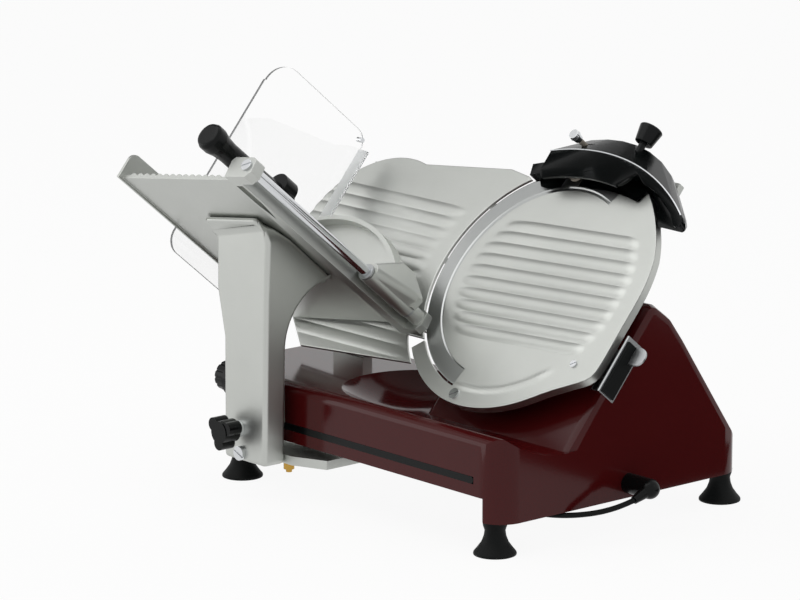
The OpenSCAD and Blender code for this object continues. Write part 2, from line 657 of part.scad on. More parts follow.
module index_dial() color("#c2c4c5") machine() difference() {
    along_x(-half_l - 2, -half_l, index_y, index_z, 22);
    along_x(-half_l - 3, -half_l + 1, index_y, index_z, shaft_r + 1);
}
module switch_plate() color("#9c9ea0") machine() difference() {
    block([-half_l - 3, -half_l], [-112, -30], [82, 128]);
    for (at = [start_at, stop_at]) along_x(-half_l - 4, -half_l + 1, at[0], at[1], button_r + run_fit);
}
module push_button(at) {
    along_x(-half_l - 9, -half_l + wall + 2, at[0], at[1], button_r);
    along_x(-half_l + wall, -half_l + wall + 9, at[0], at[1], 5);
}
module start_button() color("#2c7a3c") machine() push_button(start_at);
module stop_button() color("#b3261e") machine() push_button(stop_at);

// carriage
column_x = [-195, -112];
column_y = [-268, -233];
column_arc = 84.8;
module column_side() difference() {
    translate([column_y[0], 50]) square([118, 370]);
    translate([column_y[1], 49]) square([120, 151]);
    translate([column_y[1] + column_arc, 200]) circle(column_arc, $fn = 96);
}
module column_front() polygon([[column_x[0], 50], [column_x[1], 50], [-106, 273], [-102, 345], [-108, 360],
    [-125, 372], [-240, 372], [-234, 350], [-208, 271], [column_x[0] + 1, 209]]);
module carriage_column() color("#b7b8b6") difference() {
    union() {
        intersection() {
            machine() translate([-300, 0, 0]) rotate([90, 0, 90]) linear_extrude(300) column_side();
            machine() translate([0, -100, 0]) rotate([90, 0, 0]) linear_extrude(300) column_front();
            tray() block([-430, -100], [-520, tray_top - tray_t], [-100, 400]);
        }
        tray() block([-348, -232], [tray_top - tray_t - 9, tray_top - tray_t], [112, 264]);
    }
    machine() {
        block([-187, -120], [-260, -232], [110, 195]);
        along_y(-269, -232, clamp_at[0], clamp_at[1], 5 + free_gap);
    }
}
module slide_block() color("#9ea0a1") machine() difference() {
    union() {
        translate([0, 0, 50]) linear_extrude(12)
            polygon([[-190, -233], [-100, -233], [-52, -214], [-52, -140], [-190, -140]]);
        block([-185, -55], [-190, -154], [62, 104]);
        block([-185, -55], [-154, -130], [62, 84 - free_gap]);
    }
    along_x(-186, -54, rod_y, rod_z, rod_r + 3 + run_fit);
}
module slide_bushes() color("#b08d4f") machine() for (x0 = [-185, -85]) difference() {
    along_x(x0, x0 + 30, rod_y, rod_z, rod_r + 3);
    along_x(x0 - 1, x0 + 31, rod_y, rod_z, rod_r + run_fit);
}
module clamp_collar() color("#c9cbcc") machine() difference() {
    along_y(-278, -268, clamp_at[0], clamp_at[1], 11);
    along_y(-279, -267, clamp_at[0], clamp_at[1], 5 + run_fit);
}
module clamp_knob() color("#141414") machine() {
    along_y(-279, -250, clamp_at[0], clamp_at[1], 5);
    along_y(-303, -278 - free_gap, clamp_at[0], clamp_at[1], 15);
    for (a = [25:120:265]) along_y(-302, -282, clamp_at[0] + 15 * cos(a), clamp_at[1] + 15 * sin(a), 9);
}
module stop_screw() color("#cfd1d2") machine() difference() {
    along_y(-273, -268, -160, 61, 9.5);
    translate([-160, -273, 61]) rotate([0, 25, 0]) cube([20, 3, 2], center = true);
}
module adjusting_screw() color("#b8934a") machine() {
    translate([-116, -224, 41]) cylinder(r = 7, h = 9);
    translate([-116, -224, 37]) cylinder(r = 4, h = 5);
}
ridge_x = [-387, -231];
module tray_section() {
    ridge_r = 0.46 * tray_pitch;
    translate([-406, tray_top - tray_t]) square([bar_tx[0] + 406, tray_t]);
    intersection() {
        translate([ridge_x[0] - 7, tray_top - 1]) square([ridge_x[1] - ridge_x[0] + 14, ridge_r]);
        for (x = [ridge_x[0]:tray_pitch:ridge_x[1]]) translate([x, tray_top - ridge_r / 2]) circle(ridge_r, $fn = 40);
    }
}
module food_tray() color("#c4c5c3") union() {
    tray() translate([0, 0, bar_n[0]]) linear_extrude(tray_end - bar_n[0]) tray_section();
    slant() translate([tray_wall_x - 4, 0, 0]) rotate([90, 0, 90]) linear_extrude(4) {
        translate([tray_wall_w[0], bar_n[0] + 3])
            square([tray_wall_w[1] - tray_wall_w[0], tray_end + 4 - wall_corner - bar_n[0]]);
        translate([tray_wall_w[0], tray_end - wall_corner])
            square([tray_wall_w[1] - wall_corner - tray_wall_w[0], wall_corner + 7]);
        translate([tray_wall_w[1] - wall_corner, tray_end + 7 - wall_corner]) circle(wall_corner);
    }
}
module rail_bar() color("#a8a9a6") tray() difference() {
    union() {
        block(bar_tx, bar_tw, bar_n);
        for (n = [[bar_n[0], bar_n[0] + 13], [bar_n[1] - 18, bar_n[1]]]) translate([0, 0, n[0]])
            linear_extrude(n[1] - n[0]) polygon([[end_tx[0], bar_tw[0]], [end_tx[1] - 8, bar_tw[0]],
                [end_tx[1], bar_tw[0] + 8], [end_tx[1], bar_tw[1] + 1], [end_tx[1] - 6, bar_tw[1] + 5],
                [end_tx[0] + 5, bar_tw[1] + 5], [end_tx[0], bar_tw[1]]]);
        // stop sleeve that the pusher bush rests on
        along_n(bar_n[0] + 12, pusher_n - 4, prod_at, 10.5);
    }
    along_n(16, bar_n[1] - 16, prod_at, pusher_rod_r + run_fit);
    // tapered recess on the underside
    translate([0, bar_tw[0] + 5, 0]) rotate([90, 0, 0]) linear_extrude(6)
        polygon([[-175, 362], [-164, 362], [-164, 322], [-170, 285], [-175, 320]]);
    along_n(bar_n[1] - 14, bar_n[1] + 1, prod_at, 3.5 + run_fit);
}
module pusher_rod() color("#d6d8da") tray() along_n(16, bar_n[1] - 16, prod_at, pusher_rod_r);
module grip_rod() color("#c8cacc") tray() {
    along_n(236, 408, grip_at, 5);
    block([grip_at[0] - 8, grip_at[0] + 8], [tray_top, grip_at[1]], [236, 246]);
    along_n(236, 246, grip_at, 8);
    block([grip_at[0] - 8, grip_at[0] + 8], [tray_top, tray_top + 2], [236, 256]);
}
module carriage_grip() color("#17191a") tray() difference() {
    union() {
        translate([grip_at[0], grip_at[1], 0]) rotate_extrude() polygon([[0, 252], [17, 252], [18.5, 256], [18, 264],
            [15, 276], [14, 300], [14, 370], [15.5, 384], [18.5, 396], [18.5, 406], [16, 411], [12, 412], [0, 412]]);
        translate([grip_at[0], grip_at[1] + 12, 0]) along_n(253, 276, [0, 0], 17);
    }
    along_n(250, 408, grip_at, 5);
}
module finger_guard() color([0.85, 0.9, 0.92, 0.4]) slant() difference() {
    union() {
        translate([tray_wall_x - 4 - guard_t, 0, 0]) rotate([90, 0, 90]) linear_extrude(guard_t) difference() {
            round_rect([-163, 134], [33, 232], 22);
            difference() {
                translate([96, 192]) square([60, 60]);
                translate([96, 192]) circle(38);
            }
        }
        // bent edge beside the blade
        block([tray_wall_x - 4 - guard_t, tray_wall_x + 14], [-95, 112], [33, 33 + guard_t]);
    }
    for (ns = [80, 200]) translate([-400, -116, ns]) rotate([0, 90, 0]) cylinder(r = 2.5 + run_fit, h = 20);
    translate([-400, 124, 42]) rotate([0, 90, 0]) cylinder(r = 3.5 + run_fit, h = 20);
}
module guard_screws() color("#b6b8b9") {
    slant() {
        for (ns = [80, 200]) translate([tray_wall_x - 4 - guard_t - 2.5, -116, ns]) rotate([0, 90, 0]) {
            cylinder(r = 5, h = 2.5);
            cylinder(r = 2.5, h = 2.5 + guard_t);
        }
        translate([tray_wall_x - 8 - guard_t, 124, 42]) rotate([0, 90, 0]) cylinder(r = 3.5, h = 12);
    }
    tray() difference() {
        union() {
            along_n(bar_n[1], bar_n[1] + 3, prod_at, 8);
            along_n(bar_n[1] - 12, bar_n[1] + 1, prod_at, 3.5);
        }
        translate([prod_at[0], prod_at[1], bar_n[1] + 3]) rotate([0, 0, 20]) cube([18, 1.8, 3], center = true);
    }
}

// pusher
pusher_n = 44;
hub_r = 12;
hub_l = 86;
plate_at = [-320, -130];
plate_r = 180;
module pusher_bush() color("#b08d4f") tray() difference() {
    union() {
        along_n(pusher_n - 4, pusher_n + hub_l + 4, prod_at, pusher_rod_r + 2.5);
        along_n(pusher_n - 4, pusher_n - free_gap, prod_at, hub_r - 0.5);
        along_n(pusher_n + hub_l + free_gap, pusher_n + hub_l + 4, prod_at, hub_r - 0.5);
    }
    along_n(pusher_n - 5, pusher_n + hub_l + 5, prod_at, pusher_rod_r + run_fit);
}
module plate_outline() intersection() {
    translate(plate_at) circle(plate_r, $fn = 120);
    translate([-384, -62]) square([217, 130]);
}
module pusher_head() color("#c2c3c1") tray() difference() {
    union() {
        translate([0, 0, pusher_n]) linear_extrude(pusher_t) {
            plate_outline();
            polygon([[-250, 20], [-189, -6], [-169, -16], [-146, -46], [-124, -62], [-130, -76], prod_at, [-160, -62],
                [-250, -62]]);
        }
        along_n(pusher_n, pusher_n + hub_l, prod_at, hub_r);
        // shoulder between the hub and the plate
        hull() {
            along_n(pusher_n, pusher_n + hub_l - 3, prod_at + [1, 4], hub_r, $fn = 32);
            along_n(pusher_n, pusher_n + 22, [-168, -30], 12, $fn = 32);
            along_n(pusher_n, pusher_n + 14, [-232, -46], 12, $fn = 32);
            along_n(pusher_n, pusher_n + 16, [-136, -62], 10, $fn = 32);
        }
        // stiffening rim round the back of the plate
        translate([0, 0, pusher_n]) linear_extrude(22) difference() {
            plate_outline();
            translate(plate_at) circle(plate_r - 6, $fn = 120);
        }
        // spikes that hold the food
        for (tx = [-365:22:-210]) for (tw = [-50:20:10]) if (norm([tx, tw] - plate_at) < plate_r - 12)
            translate([tx, tw, pusher_n - 8]) cylinder(r1 = 0.8, r2 = 3, h = 9, $fn = 16);
    }
    along_n(pusher_n - 1, pusher_n + hub_l + 1, prod_at, pusher_rod_r + 2.5 + run_fit);
    // room for the rail bar
    block([bar_tx[0] - 60, bar_tx[1] + 1.5], [bar_tw[0] - 10, bar_tw[1] + 1.5], [pusher_n - 1, pusher_n + hub_l + 1]);
}

base_casting();
bottom_plate();
trim_strip();
rubber_feet();
foot_screws();
slide_rod();
slide_rail();
cord_gland();
cord_run();
cord_coil();
coil_tie();
mains_plug();
motor_body();
gauge_guide();
spindle_housing();
spindle_bearings();
blade_cover();
cover_screws();
guard_arm();
guard_bracket();
bracket_pad();
slice_deflector();
sharpener_housing();
sharpener_trim();
sharpener_post();
switch_plate();
drive_belt();
index_dial();
blade();
blade_spindle();
driven_pulley();
motor_shaft();
drive_pulley();
grinding_stone();
deburr_stone();
deburr_button();
sharpener_knob();
index_knob();
index_shaft();
gauge_plate();
gauge_arm();
carriage_column();
slide_block();
slide_bushes();
clamp_collar();
stop_screw();
adjusting_screw();
food_tray();
rail_bar();
pusher_rod();
carriage_grip();
grip_rod();
finger_guard();
guard_screws();
clamp_knob();
pusher_bush();
pusher_head();
start_button();
stop_button();
cover_tie_knob();
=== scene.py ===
# Looks of an electric food slicer: finishes, soft edges and the mains lead

# %% [markdown]
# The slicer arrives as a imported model: sixty rigid pieces, in metres, each riding on the body
# that moves it. This lesson dresses that model. It never moves a piece. It copies the ones
# whose edges need softening, gives every surface its real finish, and lays the mains lead.

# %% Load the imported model
import json
import math

import bpy
from mathutils import Matrix, Vector


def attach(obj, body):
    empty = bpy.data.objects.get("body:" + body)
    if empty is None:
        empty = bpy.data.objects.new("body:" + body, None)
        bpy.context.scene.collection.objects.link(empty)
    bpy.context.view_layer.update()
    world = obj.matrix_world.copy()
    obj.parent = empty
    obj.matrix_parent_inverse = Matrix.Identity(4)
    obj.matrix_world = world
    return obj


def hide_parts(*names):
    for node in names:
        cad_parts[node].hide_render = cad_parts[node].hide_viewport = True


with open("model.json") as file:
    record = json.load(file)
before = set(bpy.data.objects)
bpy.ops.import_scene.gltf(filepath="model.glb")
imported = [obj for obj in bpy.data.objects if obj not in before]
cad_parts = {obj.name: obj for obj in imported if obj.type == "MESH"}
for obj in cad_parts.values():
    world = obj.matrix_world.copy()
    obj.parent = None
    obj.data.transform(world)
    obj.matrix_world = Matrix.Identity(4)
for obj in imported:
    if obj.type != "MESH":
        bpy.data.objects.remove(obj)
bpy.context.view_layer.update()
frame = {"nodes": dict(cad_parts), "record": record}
nodes = frame["nodes"]
body_of = {n: body for body, members in frame["record"]["behaviour"]["bodies"].items() for n in members}

# %% [markdown]
# The photograph was taken with a long lens from a little above, at the corner of the slicer
# where the blade cover and the carriage column both show. The camera is placed from the sizes
# and directions that were worked out for the model, with no shift.

# %% Camera
LOOKS_DOWN = 12.526
TURNED = 49.186
camera_data = bpy.data.cameras.new("photo_camera")
camera_data.sensor_width = 36
camera_data.lens = 193.977
camera_data.clip_end = 60
camera = bpy.data.objects.new("photo_camera", camera_data)
bpy.context.scene.collection.objects.link(camera)
camera.location = (4.0603, -3.5511, 1.4572)
camera.rotation_euler = (math.radians(90 - LOOKS_DOWN), 0, math.radians(TURNED))
bpy.context.scene.camera = camera
print("camera looks down by", LOOKS_DOWN, "degrees")

# %% [markdown]
# The mains lead is 7 mm thick and 2 m long. It leaves a swivelling gland on the end face, runs
# forward and under the base, and the rest lies behind the base in a flat coil of two layers.
# A curve with round thickness is the natural way to make it: the curve is the lead's centre
# line, so its length can be measured, and the radius of its points is the lead's own radius.

# %% Route of the mains lead
# SHIFT leads from the centre of the feet, where the millimetres below start, to the model's origin
MM = 0.001
SHIFT = Vector((16.5, 76.45, 0))
LEAD_D = 7.0
COIL_STEP = 15

run_points = [
    (316, -24, 52), (312, -40, 47.5), (307, -56, 44), (300, -73, 41.5), (291, -88, 40), (280, -101, 39),
    (267, -112, 38.6), (252, -120, 38.2), (235, -125, 35), (217, -127, 30), (198, -125, 25), (180, -119, 20),
    (164, -109, 15), (151, -95, 10.5), (143, -78, 7.5), (139, -60, 5.5), (137, -40, 5), (136, -20, 5),
    (136, 0, 5), (136, 20, 5), (136, 40, 5), (136, 60, 5), (135, 80, 5), (133, 100, 5), (130, 120, 5),
    (126, 140, 5), (120, 160, 5), (112, 178, 5), (103, 195, 5), (95, 213, 5), (88, 232, 5), (84, 252, 5),
    (82, 268, 5),
]
coil_centre = Vector((32, 275, 5))
coil_outer = 50
turn_gap = LEAD_D + 0.7
steps_in = 57
steps_over = 12


def coil_point(i):
    """Point i of the coil: inwards on the lower layer, then over, then outwards on the upper layer."""
    turned = math.radians(COIL_STEP * i)
    inward = min(i, steps_in)
    outward = max(i - steps_in - steps_over, 0)
    over = min(max(i - steps_in, 0), steps_over)
    radius = coil_outer - turn_gap * (inward - outward) * COIL_STEP / 360
    rise = turn_gap * (1 - math.cos(math.pi * over / steps_over)) / 2
    return coil_centre + Vector((radius * math.cos(turned), radius * math.sin(turned), rise))


coil_points = [coil_point(i) for i in range(2 * steps_in + steps_over + 1)]
tail_way = (coil_points[-1] - coil_points[-2]).normalized()
tail_points = [
    coil_points[-1] + reach * tail_way + Vector((0, 0, lift))
    for reach, lift in ((10, 0), (24, 1), (40, 5), (56, 7.3), (66, 7.3))
]
route = [(Vector(p) + SHIFT) * MM for p in run_points + coil_points + tail_points]
print(len(route), "points on the lead")

# %% Mains lead
lead_data = bpy.data.curves.new("mains_lead", "CURVE")
lead_data.dimensions = "3D"
lead_data.bevel_depth = 1.0
lead_data.bevel_resolution = 5
lead_data.use_fill_caps = True
spline = lead_data.splines.new("BEZIER")
spline.bezier_points.add(len(route) - 1)
spline.resolution_u = 4
for point, place in zip(spline.bezier_points, route):
    point.co = place
    point.radius = LEAD_D / 2 * MM
    point.handle_left_type = "AUTO"
    point.handle_right_type = "AUTO"
lead = bpy.data.objects.new("mains_lead", lead_data)
bpy.context.scene.collection.objects.link(lead)
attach(lead, "base")
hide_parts("cord_run", "cord_coil")

# %% [markdown]
# Every finish is built from the same few steps: a cloudy pattern over the piece's own
# coordinates, two close tones mixed by it, a roughness that wanders with it, and sometimes a
# slight bump. Each step is one small function. Colours are written as on a screen and turned
# into the linear values that shaders use.

# %% Tools for finishes
def colour(code):
    """Linear colour of an sRGB hex code."""
    parts = [int(code[i:i + 2], 16) / 255 for i in (1, 3, 5)]
    return tuple(p / 12.92 if p <= 0.04045 else ((p + 0.055) / 1.055) ** 2.4 for p in parts) + (1,)


def add_node(tree, kind, inputs=None, **settings):
    """A new shader node with its settings, its values and its links."""
    made = tree.nodes.new(kind)
    for name, value in settings.items():
        setattr(made, name, value)
    for socket, value in (inputs or {}).items():
        if isinstance(value, bpy.types.NodeSocket):
            tree.links.new(value, made.inputs[socket])
        else:
            made.inputs[socket].default_value = value
    return made


SOCKETS = {
    "base": "Base Color", "metal": "Metallic", "rough": "Roughness", "ior": "IOR",
    "specular": "Specular IOR Level", "clear": "Transmission Weight",
}


def new_material(name, **values):
    """A material with values on its main shader's sockets, its node tree and that shader."""
    material = bpy.data.materials.new(name)
    material.use_nodes = True
    shader = material.node_tree.nodes["Principled BSDF"]
    for socket, value in values.items():
        shader.inputs[SOCKETS[socket]].default_value = value
    return material, material.node_tree, shader


def pattern(tree, scale, detail=2.0, stretch=None):
    """A cloudy pattern over the piece's own coordinates, stretched if asked."""
    where = add_node(tree, "ShaderNodeTexCoord").outputs["Object"]
    if stretch:
        where = add_node(tree, "ShaderNodeMapping", {"Vector": where, "Scale": stretch}).outputs["Vector"]
    cloud = add_node(tree, "ShaderNodeTexNoise", {"Vector": where, "Scale": scale, "Detail": detail})
    return cloud.outputs["Fac"]


def two_tones(tree, shader, by, dark, pale):
    """A base colour between two tones."""
    tint = add_node(tree, "ShaderNodeMixRGB", {"Fac": by, "Color1": colour(dark), "Color2": colour(pale)})
    tree.links.new(tint.outputs["Color"], shader.inputs["Base Color"])


def wandering_roughness(tree, shader, by, low, high):
    """A roughness between two values."""
    rough = add_node(tree, "ShaderNodeMapRange", {"Value": by, "To Min": low, "To Max": high})
    tree.links.new(rough.outputs["Result"], shader.inputs["Roughness"])


def bump(tree, shader, by, strength, distance):
    """A slight bump, with its depth in metres."""
    dent = add_node(tree, "ShaderNodeBump", {"Height": by, "Strength": strength, "Distance": distance})
    tree.links.new(dent.outputs["Normal"], shader.inputs["Normal"])


print("tools for finishes are ready")

# %% [markdown]
# The stage is a pale floor that runs out of sight, under one large soft lamp overhead, one low
# at the left and a weak one at the right. The camera, mirrors and clear plastic see the floor
# and the sky as plain white, through the Light Path node; the floor keeps a little of its own
# paint, so the slicer's shadow stays.

# %% Floor, lamps and sky
def seen_as_background(tree):
    """One for rays from the camera, a mirror or clear plastic, and nought for others."""
    rays = add_node(tree, "ShaderNodeLightPath").outputs
    mirror = add_node(tree, "ShaderNodeMath", {0: rays["Is Camera Ray"], 1: rays["Is Glossy Ray"]},
                      operation="ADD").outputs[0]
    return add_node(tree, "ShaderNodeMath", {0: mirror, 1: rays["Is Transmission Ray"]},
                    operation="ADD", use_clamp=True).outputs[0]


WHITE_SHARE = 0.92
bpy.context.scene.view_settings.view_transform = "Standard"
bpy.ops.object.select_all(action="DESELECT")
bpy.ops.mesh.primitive_plane_add(size=60, location=(0, 0, 0))
floor = bpy.context.object
floor.name = "floor"
floor_paint, tree, shader = new_material("matt_white_floor", rough=0.9, specular=0.1)
two_tones(tree, shader, pattern(tree, 3.0), "#f4f4f3", "#f7f7f6")
share = add_node(tree, "ShaderNodeMath", {0: seen_as_background(tree), 1: WHITE_SHARE},
                 operation="MULTIPLY").outputs[0]
white = add_node(tree, "ShaderNodeEmission", {"Color": (1, 1, 1, 1), "Strength": 1.0}).outputs[0]
blend = add_node(tree, "ShaderNodeMixShader", {0: share, 1: shader.outputs[0], 2: white})
tree.links.new(blend.outputs[0], tree.nodes["Material Output"].inputs["Surface"])
floor.data.materials.append(floor_paint)

for name, place, aim, size, power in (
        ("soft_top", (-0.4, -0.9, 2.6), (0, 0, 0.2), 2.6, 22),
        ("soft_left", (-2.3, -2.05, 0.75), (0, 0, 0.25), 1.6, 9),
        ("soft_right", (2.6, 1.2, 1.7), (0, 0, 0.25), 1.4, 2)):
    lamp_data = bpy.data.lights.new(name, "AREA")
    lamp_data.size = size
    lamp_data.energy = power
    lamp = bpy.data.objects.new(name, lamp_data)
    bpy.context.scene.collection.objects.link(lamp)
    lamp.location = place
    lamp.rotation_euler = (Vector(aim) - Vector(place)).to_track_quat("-Z", "Y").to_euler()
    lamp.visible_camera = False

sky = bpy.data.worlds.new("white_studio")
bpy.context.scene.world = sky
sky.use_nodes = True
tree = sky.node_tree
sky_light = tree.nodes["Background"]
sky_light.inputs["Color"].default_value = (1, 1, 1, 1)
sky_light.inputs["Strength"].default_value = 0.55
seen = add_node(tree, "ShaderNodeBackground", {"Color": (1, 1, 1, 1), "Strength": 1.0}).outputs[0]
blend = add_node(tree, "ShaderNodeMixShader", {0: seen_as_background(tree), 1: sky_light.outputs[0], 2: seen})
tree.links.new(blend.outputs[0], tree.nodes["World Output"].inputs["Surface"])
print("floor, three lamps and a white sky")

# %% [markdown]
# Photographers put dark cards beside shiny things to shape their reflections. One hangs high at
# the left here and darkens the upper side of each ridge; one lies at the far right. Only
# reflections show them.

# %% Dark cards
card_paper, tree, shader = new_material("black_paper", rough=0.9)
two_tones(tree, shader, pattern(tree, 40.0), "#141414", "#1a1a1a")
for name, place, aim, size in (
        ("card_high", (-1.77, 0.86, 1.94), (0.1, 0.08, 0.3), (2.6, 1.5)),
        ("card_right", (0.85, 0.6, 0.004), (0.85, 0.6, 1), (0.9, 0.8))):
    turn = (Vector(aim) - Vector(place)).to_track_quat("Z", "Y").to_euler()
    bpy.ops.object.select_all(action="DESELECT")
    bpy.ops.mesh.primitive_plane_add(size=1, location=place, rotation=turn)
    card = bpy.context.object
    card.name = name
    card.scale = (size[0], size[1], 1)
    card.visible_camera = False
    card.visible_diffuse = False
    card.visible_shadow = False
    card.visible_transmission = False
    card.data.materials.append(card_paper)
print("two dark cards")

# %% [markdown]
# Each finish starts from the real material. The base is cast aluminium under glossy stove
# enamel: a dark wine red, with a clear shine and the faint waviness of sprayed paint, about
# 4 mm from crest to crest.

# %% Wine red stove enamel
red_enamel, tree, shader = new_material("stove_enamel_wine_red", rough=0.12, ior=1.5, specular=0.2)
two_tones(tree, shader, pattern(tree, 9.0, detail=3.0), "#430c0d", "#4a0f10")
bump(tree, shader, pattern(tree, 1 / 0.004, detail=1.0), 0.05, 0.0004)
print("made", red_enamel.name)

# %% [markdown]
# The plates, the tray and the column are aluminium, ground and then anodised to a satin. The
# grinding leaves fine parallel scratches. They are far finer than a pixel, so they are drawn
# about 0.6 mm apart and 30 mm long, and shown only as a change of roughness and a slight bump.

# %% Satin anodised aluminium
satin_aluminium, tree, shader = new_material("anodised_aluminium_satin", metal=1.0)
two_tones(tree, shader, pattern(tree, 14.0, detail=4.0), "#b7b9b5", "#c1c3bf")
scratch = pattern(tree, 1.0, stretch=(1 / 0.030, 1 / 0.0006, 1 / 0.0006))
wandering_roughness(tree, shader, scratch, 0.34, 0.48)
bump(tree, shader, scratch, 0.06, 0.0002)
print("made", satin_aluminium.name)

# %% [markdown]
# The blade is hard-chromed steel, ground round its centre, so the fine lines are rings. A wave
# texture makes rings about its own Z axis; a mapping node turns that axis to the blade's.

# %% Ground blade steel
TILT = math.radians(40)
TRAY_ROLL = math.radians(8.8)
RING_GAP = 0.0016
blade_centre = (Vector((100, 0, 292)) + SHIFT) * MM
blade_steel, tree, shader = new_material("ground_blade_steel", base=colour("#adafae"), metal=1.0)
where = add_node(tree, "ShaderNodeTexCoord").outputs["Object"]
centred = add_node(tree, "ShaderNodeVectorMath", {0: where, 1: -blade_centre}, operation="ADD")
turned = add_node(tree, "ShaderNodeMapping", {"Vector": centred.outputs["Vector"],
                                              "Rotation": (-(math.pi / 2 - TILT), 0, 0)})
rings = add_node(tree, "ShaderNodeTexWave", {"Vector": turned.outputs["Vector"], "Distortion": 0.6,
                                             "Scale": 1 / RING_GAP / 6.283, "Detail": 2.0},
                 wave_type="RINGS", rings_direction="Z")
wandering_roughness(tree, shader, rings.outputs["Fac"], 0.3, 0.34)
print("made", blade_steel.name)

# %% [markdown]
# Rods, screws and trims are turned and polished, with a light haze from handling. Hidden steel
# parts are plainly brushed.

# %% Polished and brushed steel
polished_steel, tree, shader = new_material("polished_chrome_steel", base=colour("#cfd1d3"), metal=1.0)
wandering_roughness(tree, shader, pattern(tree, 60.0, detail=3.0), 0.08, 0.2)

brushed_steel, tree, shader = new_material("brushed_steel", base=colour("#a9abac"), metal=1.0)
scratch = pattern(tree, 1.0, stretch=(1 / 0.02, 1 / 0.0007, 1 / 0.0007))
wandering_roughness(tree, shader, scratch, 0.28, 0.45)
print("made", polished_steel.name, "and", brushed_steel.name)

# %% [markdown]
# The sharpener cover, the grip and the knobs are moulded in black plastic with a half gloss. A
# moulding has a faint grain of about 1 mm that breaks up the highlight. Rubber is coarser and
# duller. Both are kept darker in their shine than usual, since the whole sky here is white.

# %% Moulded black plastic and rubber
black_plastic, tree, shader = new_material("moulded_black_plastic", rough=0.24, ior=1.53, specular=0.14)
grain = pattern(tree, 1 / 0.001)
two_tones(tree, shader, grain, "#050707", "#0a0d0d")
bump(tree, shader, grain, 0.08, 0.0002)

black_rubber, tree, shader = new_material("moulded_black_rubber", rough=0.55, ior=1.52, specular=0.12)
grain = pattern(tree, 1 / 0.0015, detail=3.0)
two_tones(tree, shader, grain, "#070909", "#0d0f0f")
bump(tree, shader, grain, 0.15, 0.0002)
print("made", black_plastic.name, "and", black_rubber.name)

# %% [markdown]
# The finger guard is a 4 mm sheet of clear acrylic. Its faces hardly show. Its edges were sawn
# and left matt, so they scatter light and draw a pale line round the sheet.

# %% Clear acrylic
clear_acrylic, tree, shader = new_material("clear_acrylic", base=colour("#ffffff"), clear=1.0, ior=1.49)
wandering_roughness(tree, shader, pattern(tree, 12.0, detail=4.0), 0.0, 0.01)

acrylic_edge, tree, shader = new_material("sawn_acrylic_edge", base=colour("#f0f2f2"), clear=0.85, ior=1.49)
wandering_roughness(tree, shader, pattern(tree, 1 / 0.0012), 0.45, 0.6)
print("made", clear_acrylic.name, "and", acrylic_edge.name)

# %% [markdown]
# Small parts have their own finishes: turned brass for the adjusting screw, oily sintered
# bronze for the bushes, gritty stones, dull laminated steel for the motor, and two coloured
# push buttons.

# %% Brass, bronze, stone, motor steel and button plastics
small_finishes = {}
for slot, name, dark, pale, metal, low, high, size_mm in (
        ("brass", "turned_brass", "#a9843c", "#c09a4e", 1.0, 0.18, 0.3, 1.5),
        ("bronze", "sintered_bronze", "#8d6a3a", "#a07c48", 1.0, 0.35, 0.5, 0.8),
        ("abrasive_stone", "bonded_corundum", "#8d867b", "#a8a196", 0.0, 0.85, 0.95, 0.7),
        ("motor_steel", "laminated_motor_steel", "#6d7073", "#808386", 1.0, 0.4, 0.55, 2.0),
        ("green_plastic", "moulded_green_plastic", "#1f6b31", "#24733a", 0.0, 0.25, 0.32, 1.0),
        ("red_plastic", "moulded_red_plastic", "#a11f18", "#ab261d", 0.0, 0.25, 0.32, 1.0)):
    small_finishes[slot], tree, shader = new_material(name, metal=metal)
    grit = pattern(tree, 1000 / size_mm)
    two_tones(tree, shader, grit, dark, pale)
    wandering_roughness(tree, shader, grit, low, high)
print("made", ", ".join(finish.name for finish in small_finishes.values()))

# %% [markdown]
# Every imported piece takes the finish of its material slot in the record. Slots are the record's
# names for finishes, so one table is enough.

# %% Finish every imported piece
finish_of_slot = {
    **small_finishes, "red_enamel": red_enamel, "cast_aluminium": satin_aluminium,
    "polished_steel": polished_steel, "brushed_steel": brushed_steel, "black_plastic": black_plastic,
    "black_rubber": black_rubber, "clear_acrylic": clear_acrylic,
}
slot_of = {part["node"]: part["material_slot"] for part in frame["record"]["subparts"]}
for name, piece in nodes.items():
    piece.data.materials.clear()
    piece.data.materials.append(finish_of_slot[slot_of[name]])
nodes["blade"].data.materials[0] = blade_steel
lead.data.materials.append(black_rubber)
print("finished", len(nodes), "pieces")

# %% [markdown]
# A casting or a turned part never has a knife-sharp edge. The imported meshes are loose
# triangles, so each is copied, its points are merged, flat areas are joined, and a narrow bevel
# runs along every sharp edge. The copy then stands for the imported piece.

# %% Soft edges
SHARP = 32


def only(piece):
    """Selects one object and nothing else."""
    bpy.ops.object.select_all(action="DESELECT")
    piece.select_set(True)
    bpy.context.view_layer.objects.active = piece


def merged_copy(node, ending):
    """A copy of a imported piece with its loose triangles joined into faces, left in Edit Mode."""
    piece = bpy.data.objects.new(node + ending, nodes[node].data.copy())
    bpy.context.scene.collection.objects.link(piece)
    only(piece)
    bpy.ops.object.mode_set(mode="EDIT")
    bpy.ops.mesh.select_all(action="SELECT")
    bpy.ops.mesh.remove_doubles(threshold=2e-6)
    bpy.ops.mesh.dissolve_limited(angle_limit=math.radians(0.2))
    return piece


def smooth(piece, sharp):
    """Smooth shading up to an angle, with large faces ruling the shading of small ones."""
    bpy.ops.object.shade_smooth_by_angle(angle=math.radians(sharp))
    even = piece.modifiers.new("even", "WEIGHTED_NORMAL")
    even.keep_sharp = True
    bpy.ops.object.modifier_apply(modifier="even")


def stands_for(piece, node):
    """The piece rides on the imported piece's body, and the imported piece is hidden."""
    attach(piece, body_of[node])
    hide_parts(node)


